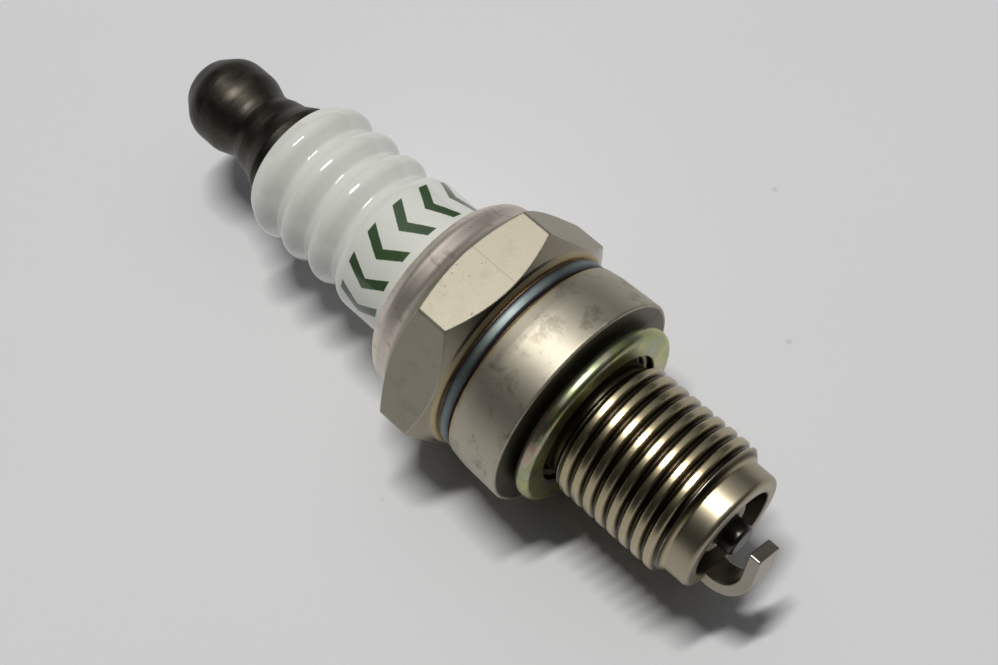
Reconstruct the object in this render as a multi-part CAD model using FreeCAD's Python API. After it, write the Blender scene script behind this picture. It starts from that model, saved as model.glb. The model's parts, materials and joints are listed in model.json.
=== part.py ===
"""Spark plug, M10 x 1 thread, 12.7 mm reach, 16 mm hex, resistor type with a captive folded gasket.

Frame: millimetres. +X runs along the plug's axis towards the firing end, +Z is up, and the plug lies on
one flat of its hex. The origin is on the axis, in the plane of the face that the gasket seats against.
Every turned piece is drawn as a half section of (x, radius) points and spun about the X axis.
"""
import FreeCAD, Part
import math
import os

V = FreeCAD.Vector
AXIS = V(1, 0, 0)
ORIGIN = V(0, 0, 0)

# ---- driving dimensions ------------------------------------------------------------------------------
HEX_ACROSS_FLATS = 15.9        # 16 mm wrench size, at the low end of its tolerance
HEX_CORNER_R = 9.13            # corners are turned just below the sharp hex
REACH = 12.7                   # seat plane to the shell's end face

THREAD_MAJOR_R = 4.95          # M10 x 1, tolerance 6g
THREAD_MINOR_R = 4.56
PITCH = 1.0
THREAD_FROM_X = 2.0
THREAD_TURN = 153.0            # degrees the cut thread is turned about the axis, which sets where crests fall
THREAD_TO_X = 10.95

NECK_R = 4.35                  # plain neck behind the thread, where the gasket turns
PILOT_R = 4.30                 # plain pilot in front of the thread
BARREL_R = 7.92
SHELL_BORE_R = 3.25            # bore of the threaded part
HEX_BORE_R = 6.25              # cavity for the packing
LIP_BORE_R = 5.36
LIP_X = -12.45                 # rearmost point of the rolled lip

INSULATOR_R = 5.25
INSULATOR_TOP_X = -26.4
BOOT_LAND_END_X = -12.75       # the glazed land for the boot ends here, just behind the lip
INSULATOR_PACKED_R = 5.08      # unglazed length inside the packing
NOSE_TIP_X = 12.2
NOSE_TIP_R = 1.95
RIB_CREST_R = 5.14
RIB_GROOVE_R = 4.56
FIRST_CREST_X = -24.9
RIB_SPACING = 2.65
RIB_SLOPE = 33.0
RIB_COUNT = 3

BORE_R = 2.0                   # the insulator's upper bore
ELECTRODE_BORE_R = 1.16
FUSED_GAP = 0.01               # clearance drawn where glass, talc or metal really touches

UPPER_RING_X = -10.92
LOWER_RING_X = -7.25
PACKING_MID_R = (INSULATOR_PACKED_R + HEX_BORE_R) / 2
PACKING_WIRE_R = (HEX_BORE_R - INSULATOR_PACKED_R) / 2 - FUSED_GAP

TERMINAL_TIP_X = -36.1
TERMINAL_HEAD_R = 3.175        # standard 6.35 mm solid terminal
TERMINAL_NECK_R = 2.70

ELECTRODE_R = 1.12
CORE_R = 0.62
ELECTRODE_TIP_X = 13.5
SPARK_GAP = 1.0
STRAP_WIDTH = 2.2
STRAP_THICKNESS = 0.90
STRAP_OUTER_R = 3.82
STRAP_ANGLE = 151.0            # degrees round the axis from +Z towards -Y
STRAP_PAST_AXIS = 0.72
STRAP_DROP = 0.52              # how far the tip comes back towards the shell from the bend

GASKET_R = 6.78
GASKET_REAR_X = 0.50           # the loose gasket stands this far off its seat
GASKET_FRONT_X = 1.58          # flat land that meets the engine first
GASKET_STRIP = 0.26            # thickness of the folded steel strip
GASKET_LAYER_GAP = 0.06
GASKET_INNER_R = 4.62

os.makedirs("parts", exist_ok=True)


# ---- drawing helpers ---------------------------------------------------------------------------------
def rounded_wire(points):
    """A closed outline from (x, radius) or (x, radius, fillet) points; each corner gets its own fillet."""
    corners = [(V(p[0], p[1], 0), p[2] if len(p) > 2 else 0.0) for p in points]
    cuts = []
    for i, (corner, fillet) in enumerate(corners):
        before = (corners[i - 1][0] - corner).normalize()
        after = (corners[(i + 1) % len(corners)][0] - corner).normalize()
        if not fillet:
            cuts.append((corner, corner, None))
            continue
        half = before.getAngle(after) / 2
        reach = fillet / math.tan(half)
        centre = corner + (before + after).normalize() * (fillet / math.sin(half))
        middle = centre + (corner - centre).normalize() * fillet
        cuts.append((corner + before * reach, corner + after * reach, middle))
    edges = []
    for i, (start, end, middle) in enumerate(cuts):
        if middle is not None:
            edges.append(Part.Arc(start, middle, end).toShape())
        following = cuts[(i + 1) % len(cuts)][0]
        if end.distanceToPoint(following) > 1e-6:
            edges.append(Part.LineSegment(end, following).toShape())
    return Part.Wire(edges)


def turned(points):
    """The solid that the outline makes when it is spun about the plug's axis."""
    return Part.Face(rounded_wire(points)).revolve(ORIGIN, AXIS, 360)


def rod(radius, x0, x1):
    return Part.makeCylinder(radius, x1 - x0, V(x0, 0, 0), AXIS)


def wire_ring(x, ring_r, wire_r):
    return Part.makeTorus(ring_r, wire_r, V(x, 0, 0), AXIS)


def save(name, shape):
    """One STEP file for one named piece."""
    if len(shape.Solids) == 1:
        shape = shape.Solids[0]
    shape.exportStep(f"parts/{name}.step")
    print(f"{name:20s} solids {len(shape.Solids)}  valid {shape.isValid()}  {shape.Volume:9.3f} mm3")


# ---- metal shell -------------------------------------------------------------------------------------
def hex_outside(x0, x1):
    """What a milling cutter removes to leave the hex between x0 and x1, one flat facing down."""
    corner_r = HEX_ACROSS_FLATS / math.sqrt(3)
    corners = []
    for k in range(7):
        angle = math.radians(30 + 60 * k)
        corners.append(V(x0, corner_r * math.sin(angle), corner_r * math.cos(angle)))
    prism = Part.Face(Part.makePolygon(corners)).extrude(V(x1 - x0, 0, 0))
    return rod(2 * HEX_CORNER_R, x0, x1).cut(prism)


def thread_groove(x0, x1):
    """The helical groove between the crests: a 60 degree V with a rounded root and eased shoulders."""
    root_fillet = 0.10
    flank_h = 0.28             # straight part of the flank, measured along the radius
    ease = 12.0                # angle left between the eased shoulder and the crest
    shoulder_r = 0.08

    def half(side):
        """Points up one side of the groove: root middle, root side, flank top, shoulder middle, crest."""
        s60, c60 = math.sin(math.radians(60)), math.cos(math.radians(60))
        root = V(THREAD_MINOR_R, 0, 0)
        root_side = V(THREAD_MINOR_R + root_fillet * (1 - c60), 0, side * root_fillet * s60)
        flank = root_side + V(flank_h, 0, side * flank_h * math.tan(math.radians(30)))
        centre = flank + V(-shoulder_r * c60, 0, side * shoulder_r * s60)
        mid_angle = math.radians((60 + ease) / 2)
        end_angle = math.radians(ease)
        middle = centre + V(shoulder_r * math.cos(mid_angle), 0, -side * shoulder_r * math.sin(mid_angle))
        crest = centre + V(shoulder_r * math.cos(end_angle), 0, -side * shoulder_r * math.sin(end_angle))
        return root, root_side, flank, middle, crest

    left, right = half(-1), half(1)
    outer_r = THREAD_MAJOR_R + 0.35
    root_arc = Part.Arc(left[1], left[0], right[1]).toShape()
    section = [root_arc]
    for points in (right, left):
        section.append(Part.LineSegment(points[1], points[2]).toShape())
        section.append(Part.Arc(points[2], points[3], points[4]).toShape())
        section.append(Part.LineSegment(points[4], V(outer_r, 0, points[4].z)).toShape())
    section.append(Part.LineSegment(V(outer_r, 0, left[4].z), V(outer_r, 0, right[4].z)).toShape())
    profile = Part.Wire(Part.__sortEdges__(section))
    helix = Part.makeHelix(PITCH, x1 - x0, THREAD_MINOR_R)
    groove = Part.Wire(helix).makePipeShell([profile], True, True)
    groove.rotate(ORIGIN, V(0, 1, 0), 90)
    groove.translate(V(x0, 0, 0))
    return groove


def thread():
    """The threaded sleeve, chamfered at both ends, which stands on the shell's neck and pilot."""
    sleeve_r = 3.9
    crests = rod(THREAD_MAJOR_R, THREAD_FROM_X, THREAD_TO_X)
    crests = crests.cut(thread_groove(THREAD_FROM_X - 0.8, THREAD_TO_X + 1.0))
    crests.rotate(ORIGIN, AXIS, THREAD_TURN)
    return crests.common(turned([
        (THREAD_FROM_X, sleeve_r),
        (THREAD_FROM_X, NECK_R),
        (THREAD_FROM_X + 0.60, THREAD_MAJOR_R + 0.02),
        (THREAD_TO_X - 0.62, THREAD_MAJOR_R + 0.02),
        (THREAD_TO_X, PILOT_R + 0.02),
        (THREAD_TO_X, sleeve_r),
    ]))


def metal_shell():
    """Steel shell: rolled lip, chamfered hex, heat-shrunk bead, barrel, seat face, neck, thread, pilot."""
    flat_r = HEX_ACROSS_FLATS / 2
    outside = [
        (LIP_X + 0.55, LIP_BORE_R),
        (LIP_X + 0.02, LIP_BORE_R, 0.12),
        (LIP_X + 0.02, 6.45, 0.60),
        (-11.65, 7.16, 0.70),
        (-10.35, 7.40, 1.00),
        (-9.62, flat_r + 0.02, 0.15),
        (-8.98, HEX_CORNER_R, 0.06),
        (-6.70, HEX_CORNER_R, 0.06),
        (-5.83, flat_r - 0.02, 0.20),
        (-5.50, 7.58, 0.10),
        (-5.40, 7.32, 0.06),
        (-5.35, 7.32, 0.02),
        (-5.32, 7.52, 0.30),
        (-4.46, 7.52, 0.30),
        (-4.42, 7.28, 0.03),
        (-4.34, 7.28, 0.06),
        (-4.22, 7.62, 0.12),
        (-3.10, 7.80, 4.0),
        (0.0, BARREL_R, 0.16),
        (0.0, NECK_R, 0.15),
        (REACH, PILOT_R, 0.38),
        (REACH, SHELL_BORE_R, 0.08),
    ]
    bore = [
        (-0.10, SHELL_BORE_R, 0.2),
        (-1.50, 4.65, 0.2),
        (-3.45, 4.65, 0.3),
        (-4.60, HEX_BORE_R, 0.2),
        (LIP_X + 0.95, HEX_BORE_R, 0.5),
    ]
    blank = turned(outside + bore)
    blank = blank.cut(hex_outside(-9.9, -5.7))
    return blank.fuse(thread()).removeSplitter()


# ---- insulator ---------------------------------------------------------------------------------------
def rib_points():
    """Corner points of the rounded ribs; each fillet brings the wave to its crest or groove radius."""
    slope = math.radians(RIB_SLOPE)
    crest_fillet, groove_fillet = 1.0, 0.36
    lift = 1 / math.cos(slope) - 1
    crest = RIB_CREST_R + crest_fillet * lift
    groove = RIB_GROOVE_R - groove_fillet * lift
    points = []
    for k in range(RIB_COUNT):
        x = FIRST_CREST_X + k * RIB_SPACING
        points.append((x, crest, crest_fillet))
        points.append((x + RIB_SPACING / 2, groove, groove_fillet))
    return points


def insulator():
    """Glazed alumina body with its ribs, shoulder, seat and nose, and the stepped bore through it."""
    last_groove_x = FIRST_CREST_X + (RIB_COUNT - 0.5) * RIB_SPACING
    outside = [
        (INSULATOR_TOP_X, BORE_R + 0.05),
        (INSULATOR_TOP_X, 4.55, 0.70),
    ] + rib_points() + [
        (last_groove_x + 1.15, INSULATOR_R, 1.4),
        (BOOT_LAND_END_X, INSULATOR_R),
        (BOOT_LAND_END_X + 0.25, INSULATOR_PACKED_R),
        (-6.65, INSULATOR_PACKED_R, 0.1),
        (-6.10, 6.12, 0.3),
        (-4.85, 6.12, 0.3),
        (-3.80, 4.55, 0.3),
        (-1.85, 4.55, 0.2),
        (-0.40, 3.12, 0.6),
        (3.2, 2.85, 6.0),
        (NOSE_TIP_X, NOSE_TIP_R, 0.35),
        (NOSE_TIP_X, ELECTRODE_BORE_R, 0.10),
    ]
    bore = [
        (-4.75, ELECTRODE_BORE_R),
        (-5.30, BORE_R),
    ]
    return turned(outside + bore)


# ---- conductors in the bore --------------------------------------------------------------------------
def terminal_stud():
    """Solid terminal: rounded head, waist, flared skirt on the insulator's rim, and the stud below it."""
    tip = TERMINAL_TIP_X
    skirt_r = 3.72
    shank_r = 1.72
    grooves = []
    for k in range(3):
        x = -18.0 + 0.8 * k
        grooves += [(x, shank_r), (x + 0.15, shank_r - 0.18), (x + 0.4, shank_r - 0.18), (x + 0.55, shank_r)]
    return turned([
        (tip, 0.0),
        (tip, 1.75, 1.5),
        (tip + 1.9, TERMINAL_HEAD_R, 2.0),
        (tip + 4.05, TERMINAL_HEAD_R, 1.8),
        (tip + 5.35, TERMINAL_NECK_R, 1.3),
        (-30.15, TERMINAL_NECK_R, 0.6),
        (-29.45, 2.95, 0.7),
        (-28.5, 3.12, 1.5),
        (-27.35, skirt_r, 0.4),
        (INSULATOR_TOP_X - FUSED_GAP, skirt_r + 0.03, 0.15),
        (INSULATOR_TOP_X - FUSED_GAP, 1.95, 0.1),
        (-25.6, 1.88, 0.3),
        (-25.2, shank_r, 0.3),
    ] + grooves + [
        (-15.0, shank_r, 0.3),
        (-15.0, 0.0),
    ])


def upper_glass_seal():
    """Copper-glass seal that is fused round the stud's grooved end."""
    plug = rod(BORE_R - FUSED_GAP, -18.4, -13.2)
    return plug.cut(rod(1.72 + FUSED_GAP, -18.5, -15.0 + FUSED_GAP))


def resistor():
    """Fired resistor rod of carbon in glass."""
    return rod(BORE_R - FUSED_GAP, -13.2 + FUSED_GAP, -8.4)


def lower_glass_seal():
    """Copper-glass seal that is fused round the centre electrode's head."""
    plug = rod(BORE_R - FUSED_GAP, -8.4 + FUSED_GAP, -5.32)
    return plug.cut(rod(1.62 + FUSED_GAP, -6.3 - FUSED_GAP, -5.0))


def centre_electrode():
    """Nickel-alloy sheath: a flanged head on the bore's cone, and a stem through the nose to its tip."""
    head_r = 1.62
    seat = FUSED_GAP * 1.5
    return turned([
        (-6.3, CORE_R),
        (-6.3, head_r, 0.15),
        (-5.32, head_r),
        (-5.32, BORE_R - 0.04),
        (-5.30 - seat, BORE_R - 0.04),
        (-4.75 - seat, ELECTRODE_R),
        (ELECTRODE_TIP_X, ELECTRODE_R, 0.26),
        (ELECTRODE_TIP_X, 0.0),
        (11.4, 0.0),
        (11.0, CORE_R),
    ])


def electrode_core():
    """Copper core that carries heat back from the tip."""
    r = CORE_R - FUSED_GAP
    return turned([(-6.3, 0.0), (-6.3, r), (10.98, r), (11.36, 0.0)])


# ---- packing and seats -------------------------------------------------------------------------------
def talc_packing():
    """Pressed talc powder between the two wire rings; each end is cupped round its ring."""
    outside = rod(HEX_BORE_R - FUSED_GAP, UPPER_RING_X + 0.25, LOWER_RING_X - 0.25)
    sleeve = outside.cut(rod(INSULATOR_PACKED_R + FUSED_GAP, UPPER_RING_X, LOWER_RING_X))
    for x in (UPPER_RING_X, LOWER_RING_X):
        sleeve = sleeve.cut(wire_ring(x, PACKING_MID_R, PACKING_WIRE_R + FUSED_GAP))
    return sleeve


def inner_seat_gasket():
    """Thin steel cone washer between the insulator's shoulder and the shell's ledge."""
    return turned([(-1.66, 4.40), (-1.42, 4.53), (-0.36, 3.47), (-0.60, 3.36)])


# ---- firing end --------------------------------------------------------------------------------------
def ground_electrode():
    """Nickel-alloy strap: welded on the end face, bent over the centre electrode's tip."""
    inner_x = ELECTRODE_TIP_X + SPARK_GAP + STRAP_DROP
    outer_x = inner_x + STRAP_THICKNESS
    outer_r, tip_r = STRAP_OUTER_R, -STRAP_PAST_AXIS
    section = rounded_wire([
        (REACH, outer_r),
        (outer_x, outer_r, 2.50),
        (outer_x - STRAP_DROP, tip_r, 0.12),
        (inner_x - STRAP_DROP, tip_r, 0.12),
        (inner_x, outer_r - STRAP_THICKNESS, 1.60),
        (REACH, outer_r - STRAP_THICKNESS),
    ])
    strap = Part.Face(section).extrude(V(0, 0, STRAP_WIDTH))
    strap.translate(V(0, 0, -STRAP_WIDTH / 2))
    long_edges = [e for e in strap.Edges if abs(e.BoundBox.ZLength) < 1e-6 and e.BoundBox.XMin > REACH + 1e-3]
    strap = strap.makeFillet(0.12, long_edges)
    # the section's radius axis (+Y) turns to the strap's place round the plug's axis
    strap.rotate(ORIGIN, AXIS, 90 + STRAP_ANGLE)
    return strap


# ---- folded gasket -----------------------------------------------------------------------------------
def strip_outline(centre, thickness):
    """A closed outline of a bent strip from its centre line, a list of lines and tangent arcs."""
    left, right = [], []
    for kind, start, end, middle, hub in centre:
        if kind == "line":
            along = (end - start).normalize()
            side = V(-along.y, along.x, 0) * (thickness / 2)
            left.append(Part.LineSegment(start + side, end + side).toShape())
            right.append(Part.LineSegment(start - side, end - side).toShape())
            last = (start + side, start - side, end + side, end - side)
            if kind == "line" and len(left) == 1:
                first = last
        else:
            radius = (start - hub).Length
            turn = (middle - start).cross(end - middle).z
            for edges, sign in ((left, -1), (right, 1)):
                grow = (radius + sign * math.copysign(thickness / 2, turn)) / radius
                points = [hub + (p - hub) * grow for p in (start, middle, end)]
                edges.append(Part.Arc(*points).toShape())
    caps = []
    for a, b, outward in ((first[0], first[1], -1), (last[2], last[3], 1)):
        along = (b - a).normalize()
        normal = V(-along.y, along.x, 0) * outward
        caps.append(Part.Arc(a, (a + b) / 2 + normal * (thickness / 2), b).toShape())
    return Part.Wire(Part.__sortEdges__(left + right + caps))


def folded_path(points, fold_r):
    """Straight layers between points, joined by tangent arcs of the fold's centre-line radius."""
    path = []
    cursor = points[0]
    for i in range(1, len(points) - 1):
        corner = points[i]
        before = (points[i - 1] - corner).normalize()
        after = (points[i + 1] - corner).normalize()
        half = before.getAngle(after) / 2
        reach = fold_r[i - 1] / math.tan(half)
        hub = corner + (before + after).normalize() * (fold_r[i - 1] / math.sin(half))
        start, end = corner + before * reach, corner + after * reach
        middle = hub + (corner - hub).normalize() * fold_r[i - 1]
        path.append(("line", cursor, start, None, None))
        path.append(("arc", start, end, middle, hub))
        cursor = end
    path.append(("line", cursor, points[-1], None, None))
    return path


def crush_gasket():
    """Rolled steel strip: a middle leaf folded at the bore into the rear leaf, a round rim, a front leaf."""
    half = GASKET_STRIP / 2
    inner = GASKET_INNER_R + half
    outer = GASKET_R - half
    rear = GASKET_REAR_X + half
    middle = rear + GASKET_STRIP + GASKET_LAYER_GAP
    land = GASKET_FRONT_X - half
    points = [
        V(middle, outer - 0.75, 0),
        V(middle, inner, 0),
        V(rear, inner, 0),
        V(rear, outer, 0),
        V(land, outer, 0),
        V(land, 5.15, 0),
    ]
    bore_fold = (middle - rear) / 2 * 0.98
    radii = [bore_fold, bore_fold, 0.36, 0.30]
    return Part.Face(strip_outline(folded_path(points, radii), GASKET_STRIP)).revolve(ORIGIN, AXIS, 360)


# ---- write every piece -------------------------------------------------------------------------------
save("metal_shell", metal_shell())
save("insulator", insulator())
save("terminal_stud", terminal_stud())
save("upper_glass_seal", upper_glass_seal())
save("resistor", resistor())
save("lower_glass_seal", lower_glass_seal())
save("centre_electrode", centre_electrode())
save("electrode_core", electrode_core())
save("ground_electrode", ground_electrode())
save("crush_gasket", crush_gasket())
save("upper_packing_ring", wire_ring(UPPER_RING_X, PACKING_MID_R, PACKING_WIRE_R))
save("talc_packing", talc_packing())
save("lower_packing_ring", wire_ring(LOWER_RING_X, PACKING_MID_R, PACKING_WIRE_R))
save("inner_seat_gasket", inner_seat_gasket())
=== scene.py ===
"""A spark plug on a plain pale floor in soft studio light.

The plug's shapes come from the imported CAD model, and this script gives them their surfaces: satin nickel
plating with a heat-tinted bead, glazed ceramic with a printed pattern, oxidised steel, iridescent zinc
plating, and the hidden seals and powders. Every surface is worked out in the plug's own frame, in
millimetres: x along the axis, r away from the axis, and phi round it, from the top towards -Y.
"""
import json
import math
import bpy
from mathutils import Matrix, Vector


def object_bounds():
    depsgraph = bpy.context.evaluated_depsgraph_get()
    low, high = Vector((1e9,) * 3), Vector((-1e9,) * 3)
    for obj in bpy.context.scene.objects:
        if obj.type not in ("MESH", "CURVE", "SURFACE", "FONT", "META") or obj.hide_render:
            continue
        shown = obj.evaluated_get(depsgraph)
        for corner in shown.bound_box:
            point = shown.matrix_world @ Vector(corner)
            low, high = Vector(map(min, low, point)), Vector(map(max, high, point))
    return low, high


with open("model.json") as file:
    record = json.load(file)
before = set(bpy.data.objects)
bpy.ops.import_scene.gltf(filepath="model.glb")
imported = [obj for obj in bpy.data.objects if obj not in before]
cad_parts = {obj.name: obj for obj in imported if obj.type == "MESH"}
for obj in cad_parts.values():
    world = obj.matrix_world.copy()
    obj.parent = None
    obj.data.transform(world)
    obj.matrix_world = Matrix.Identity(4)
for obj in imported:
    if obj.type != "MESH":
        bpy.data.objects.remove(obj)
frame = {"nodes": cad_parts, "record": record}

cad_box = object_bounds()

# ---- where things are, in millimetres along the axis ---------------------------------------------------
GLAZE_END_X = -12.75           # the insulator is bare from here towards the firing end
LIP_X = (-12.6, -9.95)         # the rolled lip and the cone behind the hex
HEX_X = (-11.25, -5.80)        # that cone again, and the hex
CHAMFER_X = (-6.68, -5.70)     # the hex's front chamfer
FLAT_R = 7.95                  # half the size across the hex's flats
SCRATCH_Y = 0.70               # a faint line along the top flat
BEAD_X = -4.87                 # middle of the heat-shrunk bead
BARREL_X = (-4.2, 0.2)
FRONT_FACE_R = 7.70            # the barrel's front face, inside its rounded corner
THREAD_X = (2.0, 11.0)
THREAD_ROOT_R, THREAD_CREST_R = 4.56, 4.95
SHELL_END_X = 12.7
SHELL_BORE_R = 3.25
FIRED_X = (11.5, 13.9)         # the sooty end of the centre electrode
PRINT_X = -15.05               # middle of the printed band
PRINT_PHI = 17.0               # degrees, middle of the print
PRINT_R = 5.25                 # radius of the ceramic under the print

# ---- camera and light ----------------------------------------------------------------------------------
VIEW_AZIMUTH = 52.155          # degrees
VIEW_ELEVATION = 63.810
VIEW_ROLL = -8.352
VIEW_DISTANCE = 0.122422       # metres
VIEW_TARGET = Vector((-0.007351, 0.000018, 0.0))
VIEW_LENS = 68.334             # mm on a 36 mm sensor
LAMP_FROM = Vector((-0.17, 0.06, 0.98)).normalized()     # from the plug to the lamp
LAMP_DISTANCE = 1.5            # metres
LAMP_SIZE = (0.52, 0.075)      # metres, long across the plug and narrow along it
LAMP_WATTS = 14.6
ROOM_ABOVE = Vector((-0.20, 0.40, 0.90)).normalized()    # where the room is brightest
BACKDROP = (0.60, 0.60, 0.61, 1.0)                       # what the camera sees beyond the floor
FLOOR_HALF = 4.0               # metres


class Graph:
    """One material's node tree, with short calls for the nodes that the surfaces share."""

    def __init__(self, name):
        self.material = bpy.data.materials.new(name)
        self.material.use_nodes = True
        self.tree = self.material.node_tree
        self.tree.nodes.clear()
        place = self.add("ShaderNodeVectorMath", operation="SCALE")
        self.tree.links.new(self.add("ShaderNodeTexCoord").outputs["Object"], place.inputs[0])
        place.inputs["Scale"].default_value = 1000.0
        self.mm = place.outputs[0]
        parts = self.add("ShaderNodeSeparateXYZ")
        self.tree.links.new(self.mm, parts.inputs[0])
        self.x, self.y, self.z = parts.outputs
        squares = self.math("ADD", self.times(self.y, self.y), self.times(self.z, self.z))
        self.r = self.math("SQRT", squares)
        self.phi = self.math("ARCTAN2", self.times(self.y, -1.0), self.z)

    def add(self, kind, **settings):
        node = self.tree.nodes.new(kind)
        for key, value in settings.items():
            setattr(node, key, value)
        return node

    def feed(self, socket, value):
        if isinstance(value, bpy.types.NodeSocket):
            self.tree.links.new(value, socket)
        elif socket.type == "RGBA" and len(value) == 3:
            socket.default_value = (*value, 1.0)
        else:
            socket.default_value = value

    def math(self, operation, *values):
        node = self.add("ShaderNodeMath", operation=operation)
        for socket, value in zip(node.inputs, values):
            self.feed(socket, value)
        return node.outputs[0]

    def times(self, product, *others):
        """All the values multiplied together."""
        for other in others:
            product = self.math("MULTIPLY", product, other)
        return product

    def swing(self, value, amount):
        """Random numbers about 0.5 made into numbers about 0, amount wide."""
        return self.times(self.math("SUBTRACT", value, 0.5), amount)

    def rise(self, value, low, high):
        """0 below low and 1 above high, with a smooth step between them; low may be above high."""
        node = self.add("ShaderNodeMapRange", interpolation_type="SMOOTHSTEP")
        for name, number in (("Value", value), ("From Min", low), ("From Max", high)):
            self.feed(node.inputs[name], number)
        return node.outputs[0]

    def band(self, value, low, high, soft):
        """1 between low and high, fading over soft at both ends."""
        return self.times(self.rise(value, low - soft, low + soft),
                          self.rise(value, high + soft, high - soft))

    def between(self, factor, a, b):
        """A number from a to b."""
        node = self.add("ShaderNodeMix", data_type="FLOAT")
        for socket, value in zip((node.inputs[0], node.inputs[2], node.inputs[3]), (factor, a, b)):
            self.feed(socket, value)
        return node.outputs[0]

    def mix(self, factor, a, b, blend="MIX"):
        """A colour from a to b."""
        node = self.add("ShaderNodeMix", data_type="RGBA", blend_type=blend)
        for socket, value in zip((node.inputs[0], node.inputs[6], node.inputs[7]), (factor, a, b)):
            self.feed(socket, value)
        return node.outputs[2]

    def ramp(self, value, stops):
        node = self.add("ShaderNodeValToRGB")
        elements = node.color_ramp.elements
        while len(elements) < len(stops):
            elements.new(0.5)
        for element, (position, colour) in zip(elements, stops):
            element.position = position
            element.color = (*colour, 1.0)
        self.feed(node.inputs[0], value)
        return node.outputs[0]

    def noise(self, scale, detail=4.0, rough=0.55, where=None, warp=0.0):
        """Smooth random numbers about 0.5, scale to the millimetre."""
        node = self.add("ShaderNodeTexNoise")
        self.feed(node.inputs["Vector"], where or self.mm)
        node.inputs["Scale"].default_value = scale
        node.inputs["Detail"].default_value = detail
        node.inputs["Roughness"].default_value = rough
        node.inputs["Distortion"].default_value = warp
        return node.outputs[0]

    def spots(self, scale, size):
        """Round spots of the given size in cells, 1 in each spot's middle and 0 outside it."""
        node = self.add("ShaderNodeTexVoronoi")
        self.feed(node.inputs["Vector"], self.mm)
        node.inputs["Scale"].default_value = scale
        return self.rise(node.outputs["Distance"], size, size * 0.4)

    def turned_place(self, along, around):
        """A vector that is stretched round the axis, for turning marks."""
        node = self.add("ShaderNodeCombineXYZ")
        self.feed(node.inputs[0], self.times(self.x, along))
        self.feed(node.inputs[1], self.times(self.r, along))
        self.feed(node.inputs[2], self.times(self.phi, around))
        return node.outputs[0]

    def eased_normal(self, radius_mm):
        """The normal of the surface with its sharp edges eased by a small radius."""
        node = self.add("ShaderNodeBevel", samples=6)
        node.inputs["Radius"].default_value = radius_mm / 1000
        return node.outputs[0]

    def edges(self, eased, low=0.02, high=0.25):
        """1 on sharp edges, from how far the eased normal leaves the true one."""
        dot = self.add("ShaderNodeVectorMath", operation="DOT_PRODUCT")
        self.tree.links.new(eased, dot.inputs[0])
        self.tree.links.new(self.add("ShaderNodeNewGeometry").outputs["Normal"], dot.inputs[1])
        return self.rise(self.math("SUBTRACT", 1.0, dot.outputs["Value"]), low, high)

    def crevice_shade(self, distance_mm):
        """1 deep in a crevice and 0 on open surface, from ambient occlusion: the mask for painted shade in
        crevices.
        """
        node = self.add("ShaderNodeAmbientOcclusion", samples=6)
        node.inputs["Distance"].default_value = distance_mm / 1000
        return self.rise(node.outputs["AO"], 0.85, 0.25)

    def bump(self, height, depth_mm, normal=None):
        node = self.add("ShaderNodeBump")
        node.inputs["Strength"].default_value = 1.0
        node.inputs["Distance"].default_value = depth_mm / 1000
        self.feed(node.inputs["Height"], height)
        if normal is not None:
            self.tree.links.new(normal, node.inputs["Normal"])
        return node.outputs[0]

    def surface(self, **inputs):
        """The finished material: a principled surface with these inputs."""
        shader = self.add("ShaderNodeBsdfPrincipled")
        for name, value in inputs.items():
            self.feed(shader.inputs[name.replace("_", " ")], value)
        output = self.add("ShaderNodeOutputMaterial")
        self.tree.links.new(shader.outputs[0], output.inputs[0])
        return self.material


# ---- metals --------------------------------------------------------------------------------------------
def heat_tint(g, colour):
    """Oxide colours of the heated groove: straw outside, then brown and violet, and blue on the bead."""
    distance = g.math("ABSOLUTE", g.math("SUBTRACT", g.x, BEAD_X))
    uneven = g.swing(g.noise(0.5, 2.0), 0.35)
    distance = g.times(g.math("ADD", distance, uneven), 0.5)
    tint = g.ramp(distance, [
        (0.00, (0.46, 0.58, 0.66)),
        (0.11, (0.30, 0.41, 0.56)),
        (0.20, (0.20, 0.19, 0.32)),
        (0.25, (0.36, 0.22, 0.20)),
        (0.29, (0.90, 0.68, 0.34)),
        (0.35, (0.98, 0.88, 0.66)),
        (0.47, (1.00, 0.98, 0.94)),
    ])
    amount = g.rise(distance, 0.55, 0.40)
    return g.mix(amount, colour, g.mix(1.0, colour, tint, "MULTIPLY"))


def off_the_flats(g):
    """0 on the six flats of the hex and 1 on the turned chamfer between and beside them."""
    reach = g.math("ABSOLUTE", g.z)
    for side in (-1, 1):
        across = g.math("ADD", g.times(g.z, 0.5), g.times(g.y, side * math.sin(math.radians(60))))
        reach = g.math("MAXIMUM", reach, g.math("ABSOLUTE", across))
    return g.rise(reach, FLAT_R - 0.02, FLAT_R - 0.10)


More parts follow.
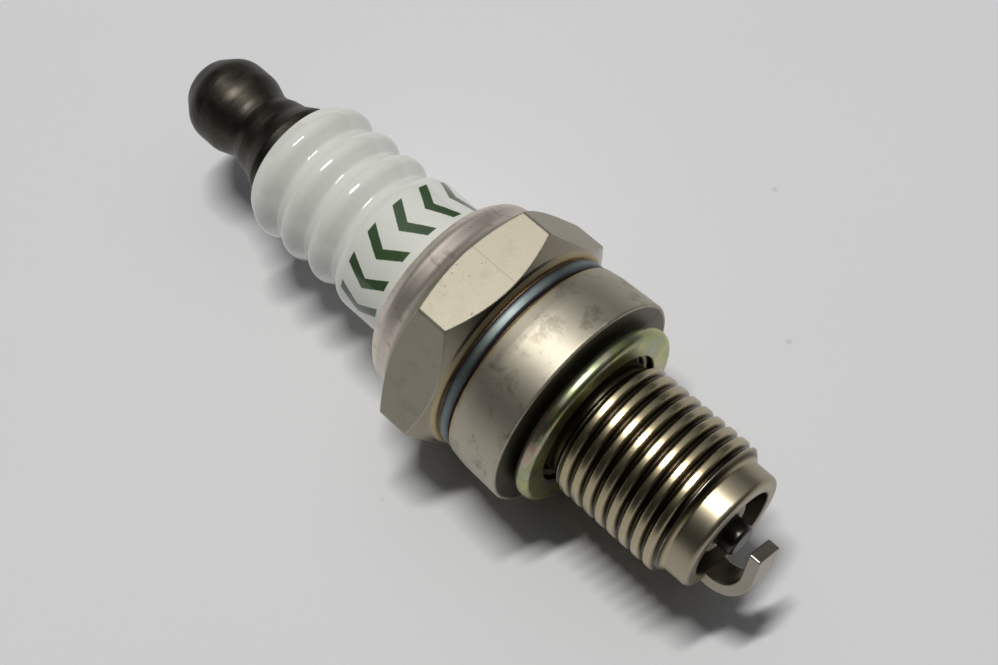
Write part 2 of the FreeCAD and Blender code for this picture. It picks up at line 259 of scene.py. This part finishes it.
def plated_steel():
    """Satin nickel plating: smudged barrel, pitted hex, heat-tinted bead, golden thread, and painted shade
    in the bore, thread roots, crevices, front face and top flat.
    """
    g = Graph("plated_steel")
    cloud = g.noise(0.28, 5.0, 0.62)
    grain = g.noise(9.0, 3.0, 0.7)
    colour = g.mix(cloud, (0.44, 0.400, 0.315), (0.56, 0.520, 0.425))

    barrel = g.band(g.x, BARREL_X[0], BARREL_X[1], 0.1)
    smudge = g.rise(g.noise(0.55, 6.0, 0.68, warp=0.25), 0.50, 0.68)
    stain = g.times(smudge, g.between(barrel, 0.20, 0.60))
    colour = g.mix(stain, colour, (0.20, 0.18, 0.14))

    creased = g.band(g.x, LIP_X[0], LIP_X[1], 0.3)
    creases = g.rise(g.noise(1.0, 4.0, 0.65, where=g.turned_place(0.5, 9.0)), 0.52, 0.70)
    # The lip is painted lighter and pinker all round: partly its own tint, partly a painted sheen. Its
    # crease marks are darker.
    colour = g.mix(creased, colour, g.mix(cloud, (0.76, 0.67, 0.60), (0.88, 0.80, 0.72)))
    colour = g.mix(g.times(creases, creased, 0.45), colour, (0.30, 0.24, 0.20))

    hexed = g.band(g.x, HEX_X[0], HEX_X[1], 0.1)
    pits = g.times(g.spots(2.3, 0.16), g.rise(g.noise(0.7, 2.0), 0.45, 0.6))
    pits = g.times(pits, g.between(hexed, 0.15, 0.8))
    colour = g.mix(pits, colour, (0.19, 0.17, 0.14))
    on_top = g.rise(g.z, FLAT_R - 0.10, FLAT_R - 0.02)
    line = g.times(g.band(g.y, SCRATCH_Y - 0.04, SCRATCH_Y + 0.04, 0.05), on_top)
    colour = g.mix(g.times(line, 0.4), colour, (0.24, 0.20, 0.16))
    # The hex is painted a little darker all round, and its top flat darker still: painted shade on the top
    # flat, which tames the lamp's highlight there.
    hex_tone_and_top_shade = g.times(hexed, g.between(on_top, 0.16, 0.34))
    colour = g.mix(hex_tone_and_top_shade, colour, (0.10, 0.09, 0.07))
    # The front chamfer is painted darker and browner: a painted dark reflection of the dim room in front of
    # the plug, with a brown tint.
    chamfer = g.times(g.band(g.x, CHAMFER_X[0], CHAMFER_X[1], 0.03), off_the_flats(g))
    colour = g.mix(g.times(chamfer, 0.45), colour, (0.13, 0.10, 0.06))
    colour = heat_tint(g, colour)

    threaded = g.band(g.x, THREAD_X[0] - 0.6, SHELL_END_X + 0.8, 0.2)
    golden = g.mix(cloud, (0.40, 0.335, 0.205), (0.51, 0.440, 0.290))
    # The thread's roots are painted dark: painted shade in the grooves.
    uneven_r = g.math("ADD", g.r, g.times(g.noise(0.6, 1.0), 0.06))
    thread_root_shade = g.rise(uneven_r, THREAD_CREST_R - 0.02, THREAD_ROOT_R + 0.12)
    thread_root_shade = g.times(thread_root_shade, g.band(g.x, THREAD_X[0], THREAD_X[1] - 0.2, 0.1))
    golden = g.mix(g.times(thread_root_shade, 0.95), golden, (0.055, 0.043, 0.026))
    colour = g.mix(threaded, colour, golden)

    # The barrel's front face and the neck behind the gasket are painted dark: painted shade between the
    # barrel and the gasket.
    behind_thread = g.times(g.band(g.x, -0.08, THREAD_X[0] + 0.1, 0.05), g.rise(g.x, 2.2, 1.9))
    front_face_and_neck_shade = g.times(behind_thread, g.rise(g.r, FRONT_FACE_R + 0.08, FRONT_FACE_R - 0.08))
    colour = g.mix(g.times(front_face_and_neck_shade, 0.80), colour, (0.060, 0.052, 0.040))
    # The shell's bore is painted dark: painted shade inside it.
    bore_shade = g.times(g.rise(g.r, SHELL_BORE_R + 0.30, SHELL_BORE_R), g.rise(g.x, -1.0, 1.0))
    colour = g.mix(bore_shade, colour, (0.10, 0.085, 0.065))

    eased = g.eased_normal(0.14)
    worn = g.times(g.edges(eased), g.rise(grain, 0.30, 0.55))
    colour = g.mix(g.times(worn, 0.6), colour, (0.86, 0.84, 0.78))
    # Crevices are painted darker: painted shade from ambient occlusion.
    colour = g.mix(g.times(g.crevice_shade(0.35), 0.7), colour, (0.05, 0.045, 0.035))
    pilot = g.rise(g.x, THREAD_X[1] - 0.1, THREAD_X[1] + 0.2)
    colour = g.mix(g.times(pilot, 0.5), colour, (0.36, 0.325, 0.27))

    rough = g.between(cloud, 0.44, 0.52)
    rough = g.between(hexed, rough, g.between(cloud, 0.48, 0.56))
    rough = g.between(stain, rough, 0.50)
    rough = g.between(chamfer, rough, 0.24)
    rough = g.between(creased, rough, 0.48)
    rough = g.between(threaded, rough, g.between(cloud, 0.26, 0.32))
    rough = g.between(pilot, rough, 0.38)
    rough = g.between(worn, rough, 0.30)
    rough = g.math("ADD", rough, g.swing(grain, 0.10))

    turning = g.noise(1.0, 4.0, 0.7, where=g.turned_place(9.0, 0.6))
    height = g.math("ADD", g.times(grain, 0.5), g.times(turning, g.between(hexed, 0.5, 0.1)))
    height = g.math("SUBTRACT", height, g.times(pits, 2.0))
    return g.surface(Base_Color=colour, Metallic=1.0, Roughness=rough, Normal=g.bump(height, 0.0035, eased))


def dark_steel():
    """Oxidised terminal: nearly black, with brown patches and rubbed high spots."""
    g = Graph("dark_steel")
    cloud = g.noise(0.45, 4.0, 0.65, warp=0.8)
    colour = g.mix(g.rise(cloud, 0.35, 0.65), (0.042, 0.040, 0.033), (0.078, 0.068, 0.052))
    scuffs = g.rise(g.noise(1.0, 5.0, 0.7, where=g.turned_place(3.0, 1.2)), 0.56, 0.72)
    colour = g.mix(g.times(scuffs, 0.5), colour, (0.14, 0.125, 0.10))
    eased = g.eased_normal(0.08)
    worn = g.edges(eased)
    colour = g.mix(g.times(worn, 0.5), colour, (0.30, 0.27, 0.23))
    grain = g.noise(7.0, 4.0, 0.7)
    rough = g.math("ADD", g.between(cloud, 0.34, 0.50), g.swing(grain, 0.15))
    return g.surface(Base_Color=colour, Metallic=0.9, Roughness=rough, Normal=g.bump(grain, 0.006, eased))


def zinc_steel():
    """Yellow zinc plating of the gasket: olive and straw, with pink and green interference colours."""
    g = Graph("zinc_steel")
    drift = g.noise(0.33, 3.0, 0.5, warp=1.2)
    across = g.times(g.math("SUBTRACT", g.r, 5.0), 0.16)
    phase = g.math("FRACT", g.math("ADD", g.times(drift, 2.1), across))
    colour = g.ramp(phase, [
        (0.00, (0.54, 0.50, 0.27)),
        (0.22, (0.42, 0.44, 0.17)),
        (0.40, (0.34, 0.38, 0.24)),
        (0.55, (0.47, 0.45, 0.33)),
        (0.70, (0.54, 0.38, 0.31)),
        (0.82, (0.37, 0.37, 0.37)),
        (1.00, (0.54, 0.50, 0.27)),
    ])
    eased = g.eased_normal(0.05)
    # Crevices are painted darker: painted shade from ambient occlusion.
    colour = g.mix(g.times(g.crevice_shade(0.30), 0.5), colour, (0.03, 0.03, 0.02))
    grain = g.noise(6.0, 3.0, 0.6)
    rough = g.between(g.noise(0.8), 0.28, 0.42)
    return g.surface(Base_Color=colour, Metallic=1.0, Roughness=rough, Normal=g.bump(grain, 0.003, eased))


def nickel_alloy():
    """Drawn nickel alloy of the electrodes, with fine lines and a straw tint near the weld."""
    g = Graph("nickel_alloy")
    cloud = g.noise(0.7, 4.0, 0.6)
    colour = g.mix(cloud, (0.34, 0.305, 0.25), (0.47, 0.435, 0.37))
    fired = g.times(g.rise(g.r, 1.6, 1.2), g.band(g.x, FIRED_X[0], FIRED_X[1], 0.3))
    colour = g.mix(g.times(fired, 0.9), colour, (0.045, 0.042, 0.038))
    weld = g.times(g.rise(g.x, SHELL_END_X + 0.6, SHELL_END_X), g.rise(g.r, 2.4, 3.0))
    colour = g.mix(g.times(weld, 0.6), colour, (0.40, 0.31, 0.18))
    eased = g.eased_normal(0.06)
    worn = g.edges(eased)
    colour = g.mix(g.times(worn, 0.7), colour, (0.84, 0.80, 0.68))
    lines = g.noise(1.0, 4.0, 0.7, where=g.turned_place(11.0, 2.0))
    rough = g.between(cloud, 0.26, 0.40)
    return g.surface(Base_Color=colour, Metallic=1.0, Roughness=rough, Normal=g.bump(lines, 0.005, eased))


def ring_steel():
    """Plain steel wire of the packing rings and the inner seat washer."""
    g = Graph("ring_steel")
    cloud = g.noise(1.2, 4.0, 0.6)
    colour = g.mix(cloud, (0.42, 0.42, 0.41), (0.60, 0.60, 0.58))
    lines = g.noise(1.0, 3.0, 0.6, where=g.turned_place(12.0, 0.8))
    return g.surface(Base_Color=colour, Metallic=1.0, Roughness=g.between(cloud, 0.30, 0.45),
                     Normal=g.bump(lines, 0.004))


def copper():
    """Copper core with darker oxide clouds."""
    g = Graph("copper")
    cloud = g.noise(1.5, 4.0, 0.6)
    colour = g.mix(cloud, (0.62, 0.26, 0.14), (0.80, 0.42, 0.26))
    return g.surface(Base_Color=colour, Metallic=1.0, Roughness=g.between(cloud, 0.25, 0.42),
                     Normal=g.bump(g.noise(10.0), 0.003))


# ---- ceramic, glass and powder -------------------------------------------------------------------------
def print_mask(g):
    """A printed row of arrow heads round the ceramic: a plain pattern, 1 where there is ink."""
    spacing, reach, stroke, slope = 2.35, 1.62, 0.40, 0.62
    along = g.math("SUBTRACT", g.x, PRINT_X)
    around = g.times(g.math("SUBTRACT", g.phi, math.radians(PRINT_PHI)), PRINT_R)
    folded = g.math("ADD", around, g.times(g.math("ABSOLUTE", along), slope))
    cell = g.math("SUBTRACT", g.math("FRACT", g.math("DIVIDE", folded, spacing)), 0.5)
    from_stroke = g.times(g.math("ABSOLUTE", cell), spacing)
    ragged = g.swing(g.noise(6.0, 2.0), 0.08)
    stroke_mask = g.rise(g.math("ADD", from_stroke, ragged), stroke + 0.03, stroke - 0.03)
    row = g.band(along, -reach, reach, 0.03)
    length = g.band(folded, -3 * spacing, 3 * spacing, 0.03)
    return g.times(stroke_mask, row, length)


def glazed_alumina():
    """White alumina: glassy glaze down to the lip, then unglazed, with a faint tan nose."""
    g = Graph("glazed_alumina")
    cloud = g.noise(0.25, 3.0, 0.5)
    colour = g.mix(cloud, (0.76, 0.78, 0.72), (0.82, 0.83, 0.78))
    specks = g.times(g.spots(1.1, 0.06), 0.35)
    colour = g.mix(specks, colour, (0.42, 0.40, 0.34))
    ink = print_mask(g)
    shade = g.noise(2.2, 3.0, 0.6)
    colour = g.mix(g.times(ink, 0.97), colour, g.mix(shade, (0.020, 0.058, 0.014), (0.038, 0.088, 0.026)))
    bare = g.rise(g.x, GLAZE_END_X, GLAZE_END_X + 0.20)
    colour = g.mix(bare, colour, g.mix(g.rise(g.x, 4.0, 12.0), (0.74, 0.73, 0.68), (0.62, 0.58, 0.50)))
    rough = g.between(bare, g.between(ink, 0.06, 0.16), 0.62)
    ripple = g.times(g.noise(0.9, 2.0, 0.4), g.between(bare, 1.0, 0.0))
    powder = g.times(g.noise(14.0, 3.0, 0.7), g.between(bare, 0.0, 0.6))
    return g.surface(Base_Color=colour, Roughness=rough, IOR=1.55, Subsurface_Weight=0.25,
                     Subsurface_Radius=(1.0, 0.9, 0.7), Subsurface_Scale=0.0006,
                     Coat_Weight=g.between(bare, 0.35, 0.0), Coat_Roughness=0.04,
                     Normal=g.bump(g.math("ADD", ripple, powder), 0.012))


def speckled_glass(name, dark, light, fleck, amount):
    """Fired glass with powder in it: clouded, with flecks that catch the light."""
    g = Graph(name)
    colour = g.mix(g.noise(1.4, 4.0, 0.6), dark, light)
    flecks = g.times(g.spots(5.0, 0.30), amount)
    colour = g.mix(flecks, colour, fleck)
    return g.surface(Base_Color=colour, Metallic=g.times(flecks, 0.9),
                     Roughness=g.between(g.noise(3.0), 0.25, 0.50), Normal=g.bump(g.noise(6.0), 0.01))


def talc():
    """Pressed powder, matt and faintly grey."""
    g = Graph("talc")
    colour = g.mix(g.noise(1.8, 5.0, 0.65), (0.66, 0.64, 0.59), (0.80, 0.78, 0.73))
    return g.surface(Base_Color=colour, Roughness=0.92, Normal=g.bump(g.noise(9.0, 4.0, 0.7), 0.03))


def dress_the_plug():
    """Gives every CAD node the material of its slot in the record."""
    finishes = {
        "plated_steel": plated_steel(),
        "glazed_alumina": glazed_alumina(),
        "dark_steel": dark_steel(),
        "copper_glass": speckled_glass("copper_glass", (0.10, 0.07, 0.05), (0.19, 0.12, 0.08),
                                       (0.72, 0.38, 0.22), 0.8),
        "carbon_glass": speckled_glass("carbon_glass", (0.03, 0.03, 0.03), (0.08, 0.075, 0.07),
                                       (0.35, 0.34, 0.32), 0.4),
        "nickel_alloy": nickel_alloy(),
        "copper": copper(),
        "zinc_steel": zinc_steel(),
        "ring_steel": ring_steel(),
        "talc": talc(),
    }
    for entry in frame["record"]["subparts"]:
        for slot in frame["nodes"][entry["node"]].material_slots:
            slot.material = finishes[entry["material_slot"]]


# ---- floor, light and camera ---------------------------------------------------------------------------
def floor():
    """A wide pale sheet under the plug, with faint fibre and tone."""
    half, z = FLOOR_HALF, cad_box[0][2]
    mesh = bpy.data.meshes.new("floor")
    corners = [(-half, -half, z), (half, -half, z), (half, half, z), (-half, half, z)]
    mesh.from_pydata(corners, [], [(0, 1, 2, 3)])
    sheet = bpy.data.objects.new("floor", mesh)
    bpy.context.scene.collection.objects.link(sheet)
    g = Graph("pale_sheet")
    tone = g.noise(0.03, 2.0, 0.5)
    colour = g.mix(tone, (0.765, 0.772, 0.795), (0.790, 0.795, 0.815))
    dust = g.times(g.spots(0.11, 0.035), 0.30)
    colour = g.mix(dust, colour, (0.40, 0.40, 0.42))
    mesh.materials.append(g.surface(Base_Color=colour, Roughness=0.75, Normal=g.bump(g.noise(3.0), 0.01)))


def light():
    """One soft lamp almost overhead, and a room that is bright above and dim at the horizon."""
    lamp = bpy.data.lights.new("overhead", "AREA")
    lamp.shape = "RECTANGLE"
    lamp.size, lamp.size_y = LAMP_SIZE
    lamp.energy = LAMP_WATTS
    lamp.color = (1.0, 0.985, 0.95)
    holder = bpy.data.objects.new("overhead", lamp)
    holder.location = LAMP_FROM * LAMP_DISTANCE
    holder.rotation_euler = LAMP_FROM.to_track_quat("Z", "Y").to_euler()
    bpy.context.scene.collection.objects.link(holder)
    bpy.context.scene.view_settings.view_transform = "Standard"

    world = bpy.data.worlds.new("room")
    bpy.context.scene.world = world
    world.use_nodes = True
    tree = world.node_tree
    tree.nodes.clear()

    def add(kind, **settings):
        node = tree.nodes.new(kind)
        for key, value in settings.items():
            setattr(node, key, value)
        return node

    direction = add("ShaderNodeTexCoord").outputs["Generated"]
    ceiling = add("ShaderNodeVectorMath", operation="DOT_PRODUCT")
    tree.links.new(direction, ceiling.inputs[0])
    ceiling.inputs[1].default_value = ROOM_ABOVE
    glow = add("ShaderNodeValToRGB")
    stops = ((0.0, 0.01), (0.45, 0.012), (0.65, 0.06), (0.85, 0.24), (1.0, 0.42))
    while len(glow.color_ramp.elements) < len(stops):
        glow.color_ramp.elements.new(0.5)
    for element, (position, value) in zip(glow.color_ramp.elements, stops):
        element.position = position
        element.color = (value * 0.98, value, value * 1.03, 1.0)
    tree.links.new(ceiling.outputs["Value"], glow.inputs[0])
    seen = add("ShaderNodeMix", data_type="RGBA")
    tree.links.new(add("ShaderNodeLightPath").outputs["Is Camera Ray"], seen.inputs[0])
    tree.links.new(glow.outputs[0], seen.inputs[6])
    seen.inputs[7].default_value = BACKDROP
    background = add("ShaderNodeBackground")
    background.inputs["Strength"].default_value = 1.0
    tree.links.new(seen.outputs[2], background.inputs["Color"])
    tree.links.new(background.outputs[0], add("ShaderNodeOutputWorld").inputs[0])


def camera():
    """A camera above the firing end, looking down along the plug with a slight roll."""
    azimuth, elevation, roll = (math.radians(a) for a in (VIEW_AZIMUTH, VIEW_ELEVATION, VIEW_ROLL))
    back = Vector((math.sin(azimuth) * math.cos(elevation), -math.cos(azimuth) * math.cos(elevation),
                   math.sin(elevation)))
    level = Vector((math.cos(azimuth), math.sin(azimuth), 0.0))
    above = back.cross(level)
    right = level * math.cos(roll) + above * math.sin(roll)
    up = above * math.cos(roll) - level * math.sin(roll)
    data = bpy.data.cameras.new("camera")
    data.sensor_width = 36.0
    data.lens = VIEW_LENS
    data.clip_start = 0.005
    data.clip_end = 50.0
    eye = bpy.data.objects.new("camera", data)
    turn = Matrix((right, up, back)).transposed().to_4x4()
    eye.matrix_world = Matrix.Translation(VIEW_TARGET + back * VIEW_DISTANCE) @ turn
    bpy.context.scene.collection.objects.link(eye)
    bpy.context.scene.camera = eye


dress_the_plug()
floor()
light()
camera()
